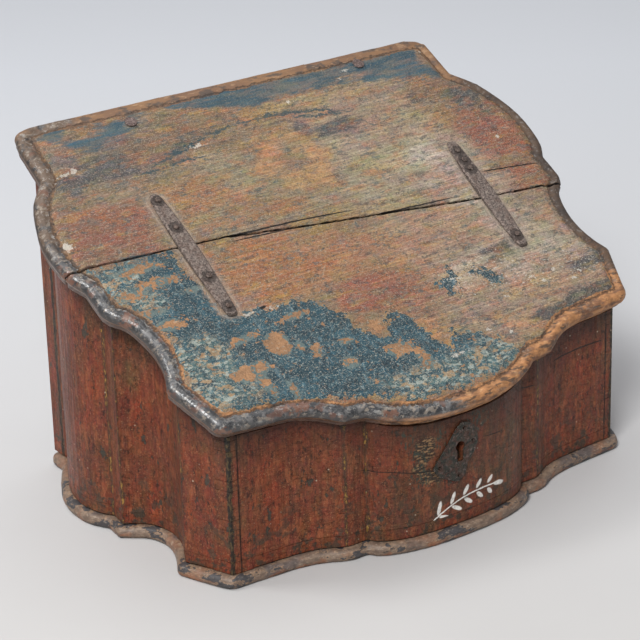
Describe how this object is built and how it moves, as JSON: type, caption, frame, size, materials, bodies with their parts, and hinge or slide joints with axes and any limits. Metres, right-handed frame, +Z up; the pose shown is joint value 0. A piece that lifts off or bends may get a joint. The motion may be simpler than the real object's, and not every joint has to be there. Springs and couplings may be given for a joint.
{
  "type": "slant-lid box",
  "caption": "Painted pine box with a carved serpentine outline, a hinged sloping lid mended with iron straps, a lock and a moulded plinth.",
  "frame": {"origin": "on the ground under the middle of the box's overall width and depth", "axes": "+Z up; +X along the width, to the right of someone who faces the lock; the front with the keyhole faces -Y and the hinges are at the back, towards +Y"},
  "size_m": [0.4674, 0.3296, 0.2899],
  "materials": {
    "red_paint": "old brown-red paint on pine, satin, streaked and worn",
    "lid_paint": "blue-green and brown paint on pine, worn through to the ground",
    "plinth_paint": "dark grey paint on pine, chipped to orange ground",
    "wrought_iron": "wrought iron, brown-grey, pitted"
  },
  "bodies": {
    "carcase": {"plinth_board": "plinth_paint", "floor_board": "red_paint", "front_board": "red_paint", "left_side_board": "red_paint", "right_side_board": "red_paint", "back_board": "red_paint", "base_nail_1": "wrought_iron", "base_nail_2": "wrought_iron", "base_nail_3": "wrought_iron", "base_nail_4": "wrought_iron", "back_nail_1": "wrought_iron", "back_nail_2": "wrought_iron", "back_nail_3": "wrought_iron", "back_nail_4": "wrought_iron", "back_nail_5": "wrought_iron", "back_nail_6": "wrought_iron", "escutcheon": "wrought_iron", "escutcheon_pin_1": "wrought_iron", "escutcheon_pin_2": "wrought_iron", "escutcheon_pin_3": "wrought_iron", "escutcheon_pin_4": "wrought_iron", "lock_plate": "wrought_iron", "lock_drill_pin": "wrought_iron", "lock_spring": "wrought_iron", "lock_nail_1": "wrought_iron", "lock_nail_2": "wrought_iron", "lock_nail_3": "wrought_iron", "lock_nail_4": "wrought_iron", "left_hinge_back_leaf": "wrought_iron", "left_hinge_pin": "wrought_iron", "left_hinge_nail_1": "wrought_iron", "left_hinge_nail_2": "wrought_iron", "right_hinge_back_leaf": "wrought_iron", "right_hinge_pin": "wrought_iron", "right_hinge_nail_1": "wrought_iron", "right_hinge_nail_2": "wrought_iron"},
    "lid": {"lid_rear_board": "lid_paint", "lid_front_board": "lid_paint", "left_hinge_lid_leaf": "wrought_iron", "left_hinge_rivet": "wrought_iron", "left_hinge_lid_nail": "wrought_iron", "right_hinge_lid_leaf": "wrought_iron", "right_hinge_rivet": "wrought_iron", "right_hinge_lid_nail": "wrought_iron", "left_strap": "wrought_iron", "left_strap_nail_1": "wrought_iron", "left_strap_nail_2": "wrought_iron", "left_strap_nail_3": "wrought_iron", "left_strap_nail_4": "wrought_iron", "right_strap": "wrought_iron", "right_strap_nail_1": "wrought_iron", "right_strap_nail_2": "wrought_iron", "right_strap_nail_3": "wrought_iron", "right_strap_nail_4": "wrought_iron", "lid_catch": "wrought_iron", "catch_nail_1": "wrought_iron", "catch_nail_2": "wrought_iron"},
    "lock_bolt": {"lock_bolt": "wrought_iron"}
  },
  "joints": [
    {"name": "lid_hinge", "type": "hinge", "parent": "carcase", "child": "lid", "pos_m": [0, 0.15324, 0.26753], "axis": [-1, 0, 0], "range_deg": [0, 135]},
    {"name": "lock_bolt_slide", "type": "slide", "parent": "carcase", "child": "lock_bolt", "axis": [1, 0, 0], "range_m": [0, 0.01]}
  ]
}
